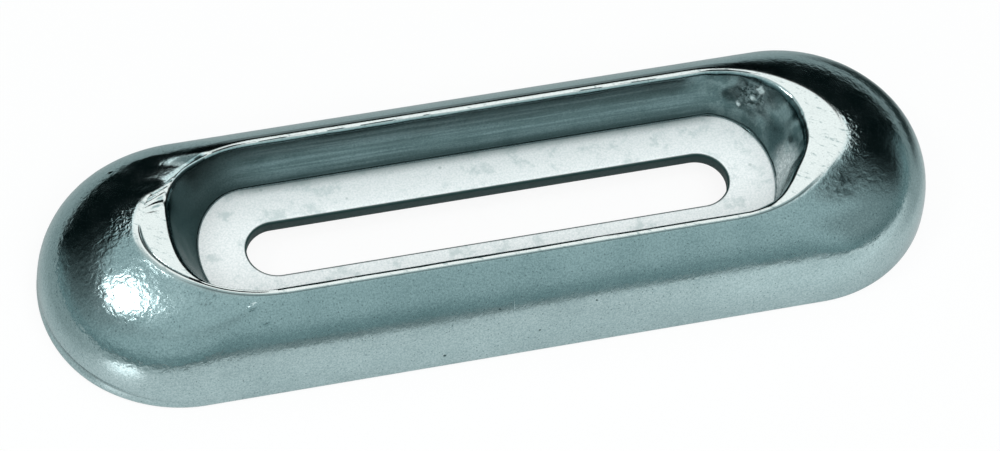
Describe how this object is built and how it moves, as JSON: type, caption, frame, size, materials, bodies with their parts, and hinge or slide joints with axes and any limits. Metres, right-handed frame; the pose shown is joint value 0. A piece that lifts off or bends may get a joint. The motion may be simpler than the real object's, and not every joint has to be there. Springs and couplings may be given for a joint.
{
  "type": "bolt-on hull anode",
  "caption": "Long zinc casting with rounded ends and an open pocket, cast round a steel plate with a long stud slot.",
  "frame": {"origin": "middle of the casting's underside, in the plane that lies on the hull", "axes": "+X along the anode, +Y across it, +Z away from the hull, through the stud slot and out of the pocket"},
  "size_m": [0.2, 0.062, 0.023],
  "materials": {
    "cast_zinc": "bare as-cast metal, satin to bright, with an orange-peel skin",
    "galvanised_steel": "matt galvanised, pale, faintly stained"
  },
  "bodies": {
    "root": {"anode_body": "cast_zinc", "mounting_plate": "galvanised_steel"}
  },
  "joints": []
}
